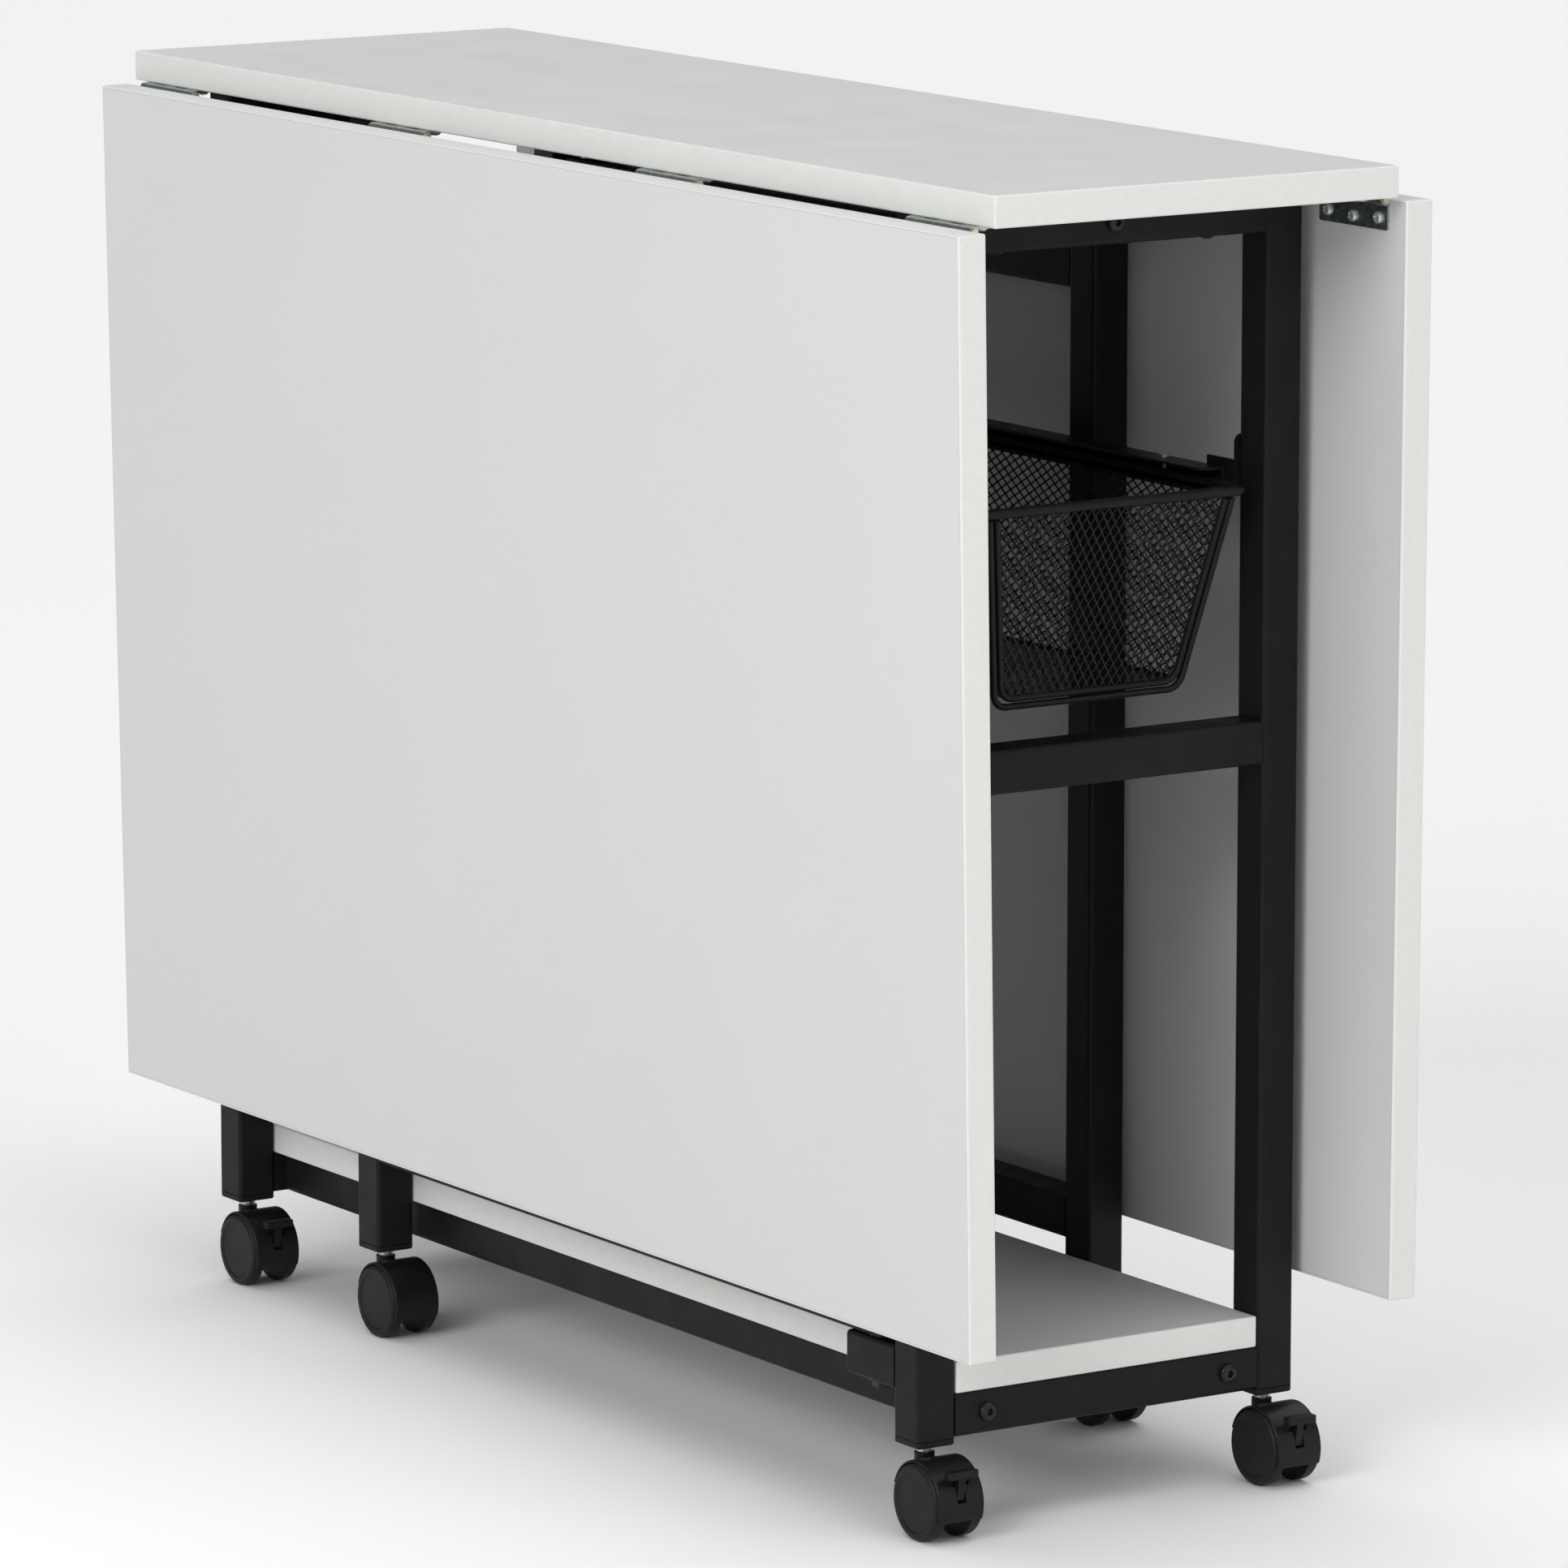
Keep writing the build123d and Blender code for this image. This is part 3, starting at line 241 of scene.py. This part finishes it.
finishes = {
    "black_powder_coat": coated_finish("Powder_coat_black", (0.0088, 0.0094, 0.0088), 0.44, specular=0.13),
    "runner_steel": coated_finish("Runner_black", (0.0075, 0.0078, 0.0080), 0.36, specular=0.16),
    "basket_steel": coated_finish(
        "Basket_black", (0.0070, 0.0076, 0.0072), 0.34, grain=0.0006, specular=0.16
    ),
    "black_fasteners": coated_finish(
        "Fastener_black", (0.009, 0.009, 0.0095), 0.28, grain=0.0004, specular=0.3
    ),
    "cap_plastic": coated_finish(
        "Cap_plastic", (0.0095, 0.0100, 0.0095), 0.5, grain=0.0005, specular=0.14
    ),
    "caster_plastic": coated_finish(
        "Caster_plastic", (0.0075, 0.0079, 0.0074), 0.34, grain=0.0007, specular=0.2
    ),
    "wheel_plastic": coated_finish(
        "Wheel_plastic", (0.0100, 0.0106, 0.0100), 0.46, grain=0.0008, depth=0.00012, specular=0.18
    ),
    "zinc_plate": plated_finish(
        "Zinc_plate", (0.48, 0.54, 0.51), (0.40, 0.45, 0.41), 0.27, 0.95, (0.5, 4, 4)
    ),
    "zinc_screws": plated_finish("Zinc_screws", (0.66, 0.68, 0.68), (0.54, 0.57, 0.57), 0.26, 0.7),
    "brass_pin": plated_finish("Brass_pin", (0.74, 0.70, 0.46), (0.62, 0.57, 0.36), 0.24, 0.6),
    "stem_steel": plated_finish("Stem_steel", (0.48, 0.48, 0.49), (0.36, 0.37, 0.39), 0.22, 1.0),
}


def paint(piece, material):
    piece.data.materials.clear()
    piece.data.materials.append(material)


for name, piece in nodes.items():
    slot = slot_of[name]
    if slot in ("table_board", "shelf_board"):
        low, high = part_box(name)
        face_axis = "Y" if name.endswith("leaf") else "Z"
        paint(piece, board_finish(f"Melamine_{name}", face_axis, low, high, FACE, BAND).material)
    else:
        paint(piece, finishes[slot].material)


# ---------------------------------------------------------------- shapes from the CAD pieces


def solids_of(name):
    """The separate solids of a CAD node, each as an array of its points."""
    mesh = bmesh.new()
    mesh.from_mesh(nodes[name].data)
    bmesh.ops.remove_doubles(mesh, verts=mesh.verts, dist=WELD)
    mesh.verts.index_update()
    waiting = set(mesh.verts)
    found = []
    while waiting:
        start = min(waiting, key=lambda v: v.index)
        reached = {start}
        edge_of_search = [start]
        while edge_of_search:
            here = edge_of_search.pop()
            for edge in here.link_edges:
                other = edge.other_vert(here)
                if other not in reached:
                    reached.add(other)
                    edge_of_search.append(other)
        waiting -= reached
        found.append(np.array([v.co[:] for v in sorted(reached, key=lambda v: v.index)]))
    mesh.free()
    return sorted(found, key=lambda points: tuple(points.mean(0).round(5)))


def new_piece(name, mesh, node, smooth=False):
    """An object from a bmesh that rides with a CAD node's body and takes its finish."""
    data = bpy.data.meshes.new(name)
    mesh.to_mesh(data)
    mesh.free()
    piece = bpy.data.objects.new(name, data)
    bpy.context.scene.collection.objects.link(piece)
    for polygon in data.polygons:
        polygon.use_smooth = smooth
    paint(piece, finishes[slot_of[node]].material)
    body = nodes[node]["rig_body"]
    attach(piece, body)
    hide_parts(node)
    return piece


# The basket's walls are expanded steel sheet: diamonds with thin flat strands. The long diagonal
# stands upright on the ends and lies along the basket on the sides and the floor.
CELL_LONG = 9.4 * MM
CELL_SHORT = 5.7 * MM
STRAND = 0.72 * MM
SHEET = 0.6 * MM
BOND = 0.12  # the corners cut off a diamond hole, as a share of its side
INTO_WIRE = 1.9 * MM  # how far the sheet runs on from the CAD panel into its border wire


def outline_of(points):
    """Convex outline of flat points, anticlockwise."""
    ordered = sorted(set(map(tuple, points.round(6))))

    def chain(run):
        kept = []
        for p in run:
            while len(kept) > 1:
                (ax, ay), (bx, by) = kept[-2], kept[-1]
                if (bx - ax) * (p[1] - ay) - (by - ay) * (p[0] - ax) > 1e-12:
                    break
                kept.pop()
            kept.append(p)
        return kept[:-1]

    return chain(ordered) + chain(ordered[::-1])


def diamond_sheet(mesh, points, into_wire):
    """Adds one wall of expanded sheet over a CAD panel to the mesh."""
    middle = points.mean(0)
    normal = np.linalg.svd(points - middle)[2][2]
    normal *= np.sign(normal[np.argmax(np.abs(normal))])
    level = abs(normal[2]) > 0.9
    end_wall = abs(normal[0]) > 0.9
    along = np.array([1.0, 0, 0]) if level else np.cross(normal, [0, 0, 1.0])
    along = along / np.linalg.norm(along)
    up = np.cross(normal, along)
    flat = np.stack([(points - middle) @ along, (points - middle) @ up], 1)
    outline = outline_of(flat)
    low, high = flat.min(0) - into_wire, flat.max(0) + into_wire
    wide, tall = (CELL_SHORT, CELL_LONG) if end_wall else (CELL_LONG, CELL_SHORT)
    flank = math.hypot(wide, tall) / 2
    inset = STRAND / 2 / (wide * tall / 4 / flank)  # half a strand, as a share of the way to the middle
    sheet = bmesh.new()
    rows = int((high[1] - low[1]) / tall * 2) + 3
    columns = int((high[0] - low[0]) / wide) + 3
    for row in range(rows):
        for column in range(columns):
            cx = low[0] + (column + (0.5 if row % 2 else 0.0) - 0.5) * wide
            cy = low[1] + (row - 1) * tall / 2
            tips = [(cx + wide / 2, cy), (cx, cy + tall / 2), (cx - wide / 2, cy), (cx, cy - tall / 2)]
            inner = [(cx + (x - cx) * (1 - inset), cy + (y - cy) * (1 - inset)) for x, y in tips]
            # The hole's points are cut off, as the strands meet in a short bond.
            hole = []
            for i, (x, y) in enumerate(inner):
                for other in (inner[i - 1], inner[(i + 1) % 4]):
                    hole.append((x + (other[0] - x) * BOND, y + (other[1] - y) * BOND))
            ring = [sheet.verts.new((x, y, 0)) for x, y in hole]
            outer = [sheet.verts.new((x, y, 0)) for x, y in tips]
            for i in range(4):
                after = (i + 1) % 4
                sheet.faces.new((ring[2 * i], outer[i], ring[2 * i + 1]))
                sheet.faces.new((ring[2 * i + 1], outer[i], outer[after], ring[2 * after]))
    bmesh.ops.remove_doubles(sheet, verts=sheet.verts, dist=1e-5)
    for i, (ax, ay) in enumerate(outline):
        bx, by = outline[(i + 1) % len(outline)]
        length = math.hypot(bx - ax, by - ay)
        if length < 1e-5:
            continue
        out = Vector(((by - ay) / length, (ax - bx) / length, 0))
        at = Vector((ax, ay, 0)) + out * into_wire
        geometry = sheet.verts[:] + sheet.edges[:] + sheet.faces[:]
        bmesh.ops.bisect_plane(sheet, geom=geometry, plane_co=at, plane_no=out, clear_outer=True)
    bmesh.ops.recalc_face_normals(sheet, faces=sheet.faces)
    top = bmesh.ops.extrude_face_region(sheet, geom=sheet.faces[:])
    for v in [g for g in top["geom"] if isinstance(g, bmesh.types.BMVert)]:
        v.co.z += SHEET
    for v in sheet.verts:
        v.co.z -= SHEET / 2
    placed = Matrix([[*c, m] for c, m in zip(np.stack([along, up, normal], 1), middle)] + [[0, 0, 0, 1]])
    sheet.transform(placed)
    bmesh.ops.recalc_face_normals(sheet, faces=sheet.faces)
    data = bpy.data.meshes.new("sheet")
    sheet.to_mesh(data)
    sheet.free()
    mesh.from_mesh(data)
    bpy.data.meshes.remove(data)


basket = bmesh.new()
for points in solids_of("basket_mesh"):
    height = points[:, 2].max() - points[:, 2].min()
    flange = height < 2 * MM and points[:, 1].max() - points[:, 1].min() < 20 * MM
    diamond_sheet(basket, points, 0.4 * MM if flange else INTO_WIRE)
new_piece("basket_diamond_mesh", basket, "basket_mesh")


# ---------------------------------------------------------------- screws

HEAD_SIDES = 32  # facets round a screw head
CROSS_POINTS = 12  # corners of a cross recess


def lathe(mesh, profile, sides, place):
    """Adds a turned solid: profile is (radius, height) pairs from the axis round to the axis again."""
    rings = []
    for radius, height in profile:
        if radius == 0:
            rings.append([mesh.verts.new(place @ Vector((0, 0, height)))])
            continue
        ring = []
        for i in range(sides):
            turn = 2 * math.pi * i / sides
            point = Vector((radius * math.cos(turn), radius * math.sin(turn), height))
            ring.append(mesh.verts.new(place @ point))
        rings.append(ring)
    for one, two in zip(rings, rings[1:]):
        for i in range(sides):
            j = (i + 1) % sides
            corners = [one[i % len(one)], one[j % len(one)], two[j % len(two)], two[i % len(two)]]
            kept = list(dict.fromkeys(corners))
            if len(kept) > 2:
                mesh.faces.new(kept)


def pan_head(mesh, place, radius, height, shank, length, turn):
    """Adds a crowned pan head with a cross recess, and its shank below the surface."""
    arm = radius * 0.62
    slot = radius * 0.17
    deep = height * 0.75
    crown = [math.radians(a) for a in (0, 22, 45, 68)]
    side = [(radius * math.cos(a) ** 0.6, height * (0.25 + 0.75 * math.sin(a))) for a in crown]
    shaft = [(0, -length), (shank, -length + shank), (shank, 0)]
    profile = [*shaft, (radius, 0), (radius, height * 0.25), *side[1:]]
    lathe(mesh, profile, HEAD_SIDES, place)
    # The top disc is closed round a cross shaped hole whose walls lean in to a small floor.
    cross = []
    for quarter in range(4):
        for x, y in ((arm, -slot), (arm, slot), (slot, slot)):
            a = math.pi / 2 * quarter
            cross.append((x * math.cos(a) - y * math.sin(a), x * math.sin(a) + y * math.cos(a)))
    spin = Matrix.Rotation(turn, 4, "Z")
    top = [mesh.verts.new(place @ spin @ Vector((x, y, height))) for x, y in cross]
    foot = [mesh.verts.new(place @ spin @ Vector((x * 0.45, y * 0.45, height - deep))) for x, y in cross]
    for i in range(CROSS_POINTS):
        j = (i + 1) % CROSS_POINTS
        mesh.faces.new((top[i], foot[i], foot[j], top[j]))
    mesh.faces.new(foot)
    rim = mesh.verts[-2 * CROSS_POINTS - HEAD_SIDES:-2 * CROSS_POINTS]
    loop = [(math.atan2(*(spin @ Vector((*c, 0))).yx), v) for c, v in zip(cross, top)]
    loop.sort(key=lambda item: item[0] % (2 * math.pi))
    inner = [v for _, v in loop]
    angles = [a % (2 * math.pi) for a, _ in loop]
    step = 2 * math.pi / HEAD_SIDES

    def apart(one, other):
        return abs((one - other + math.pi) % (2 * math.pi) - math.pi)

    nearest = []
    for i in range(HEAD_SIDES):
        nearest.append(min(range(CROSS_POINTS), key=lambda k: apart(angles[k], i * step)))
    for i in range(HEAD_SIDES):
        j = (i + 1) % HEAD_SIDES
        a, b = nearest[i], nearest[j]
        mesh.faces.new((rim[i], rim[j], inner[b]) if a == b else (rim[i], rim[j], inner[b], inner[a]))
        between = (a + 1) % CROSS_POINTS
        if a != b and between != b:
            hop = [inner[a]]
            while between != b:
                hop.append(inner[between])
                between = (between + 1) % CROSS_POINTS
            hop.append(inner[b])
            if len(hop) > 2:
                mesh.faces.new(hop[::-1])


def screw_place(points):
    """Where a CAD screw's head starts, as a matrix with +Z out of the head, then the screw's sizes:
    head radius and height, shank radius and length."""
    middle = points.mean(0)
    low, high = points.min(0), points.max(0)
    centred = points - (low + high) / 2
    axis = np.linalg.svd(centred)[2][0].round(6) + 0.0  # clean of rounding noise, so each run is the same
    along = centred @ axis
    across = np.linalg.norm(centred - np.outer(along, axis), axis=1)
    wide = across > across.max() * 0.9
    if along[wide].mean() < (along.max() + along.min()) / 2:
        axis, along = -axis, -along
    head_low, tip = along[wide].min(), along.max()
    shank = np.sort(across[along < head_low - MM])
    centre = (low + high) / 2 + axis * head_low
    turn = Vector((0, 0, 1)).rotation_difference(Vector(axis)).to_matrix().to_4x4()
    place = Matrix.Translation(Vector(centre)) @ turn
    return place, across.max(), tip - head_low, shank[-1], head_low - along.min()


draw = random.Random(7)
for node in ("hinge_top_screws", "front_hinge_screws", "rear_hinge_screws", "top_screws"):
    screws = bmesh.new()
    for points in solids_of(node):
        place, radius, height, shank, length = screw_place(points)
        pan_head(screws, place, radius, height, shank, length, draw.uniform(0, math.pi / 2))
    bmesh.ops.recalc_face_normals(screws, faces=screws.faces)
    new_piece(node + "_detail", screws, node)


# ---------------------------------------------------------------- floor, light and camera

floor_mesh = bmesh.new()
bmesh.ops.create_grid(floor_mesh, x_segments=8, y_segments=8, size=40.0)
floor_data = bpy.data.meshes.new("Floor")
floor_mesh.to_mesh(floor_data)
floor_mesh.free()
floor = bpy.data.objects.new("Floor", floor_data)
bpy.context.scene.collection.objects.link(floor)
floor.location.z = cad_low.z - 0.0002
floor_finish = Finish("Studio_floor")
floor_tint = floor_finish.blend(floor_finish.noise(1.5), (0.92, 0.92, 0.92), (0.94, 0.94, 0.94))
paint(floor, floor_finish.set(Base_Color=floor_tint, Roughness=0.9, Specular_IOR_Level=0.1).material)

world = bpy.data.worlds.new("Studio")
world.use_nodes = True
world.node_tree.nodes["Background"].inputs["Color"].default_value = (1.0, 1.0, 1.0, 1.0)
world.node_tree.nodes["Background"].inputs["Strength"].default_value = 0.14
bpy.context.scene.world = world


def soft_sun(name, toward, spread, strength):
    """Soft light from a direction, the same over the whole floor. Strength 1 turns a white surface white."""
    light = bpy.data.lights.new(name, "SUN")
    light.energy = strength * math.pi
    light.angle = math.radians(spread)
    made = bpy.data.objects.new(name, light)
    made.rotation_euler = Vector(toward).to_track_quat("Z", "Y").to_euler()
    bpy.context.scene.collection.objects.link(made)


soft_sun("Key", (0.30, -0.85, 0.42), 32, 0.33)
soft_sun("Side", (1.0, 0.2, 0.40), 60, 0.25)
soft_sun("Overhead", (-0.1, 0.15, 1.0), 80, 0.61)

# A near panel by the right hand end, so that the big leaf falls off a little towards its far lower corner.
PANEL_PLACE = Vector((1.5, -1.9, 1.5))
PANEL_AIM = Vector((0.1, -0.13, 0.45))
panel_light = bpy.data.lights.new("Panel", "AREA")
panel_light.shape = "SQUARE"
panel_light.size = 1.2
panel_light.energy = 13
panel = bpy.data.objects.new("Panel", panel_light)
panel.location = PANEL_PLACE
panel.rotation_euler = (PANEL_PLACE - PANEL_AIM).to_track_quat("Z", "Y").to_euler()
bpy.context.scene.collection.objects.link(panel)

YAW = math.radians(56.89)
PITCH = math.radians(10.05)
DISTANCE = 5.652
FOCAL = 6.1  # focal length, in picture widths
AIM_HEIGHT = 0.380
OFFSET = (0.0307, -0.0225)  # of the line of sight from the aim point, to the right and up

right = Vector((math.cos(YAW), math.sin(YAW), 0))
back = Vector((math.sin(YAW) * math.cos(PITCH), -math.cos(YAW) * math.cos(PITCH), math.sin(PITCH)))
up = back.cross(right)
camera = bpy.data.objects.new("Camera", bpy.data.cameras.new("Camera"))
camera.data.sensor_width = 36.0
camera.data.lens = FOCAL * camera.data.sensor_width
camera.data.clip_start, camera.data.clip_end = 0.1, 200.0
camera.location = Vector((0, 0, AIM_HEIGHT)) + back * DISTANCE + right * OFFSET[0] + up * OFFSET[1]
camera.rotation_euler = Matrix((right, up, back)).transposed().to_euler()
bpy.context.scene.collection.objects.link(camera)
bpy.context.scene.camera = camera
bpy.context.scene.view_settings.view_transform = "Standard"

bpy.context.view_layer.update()
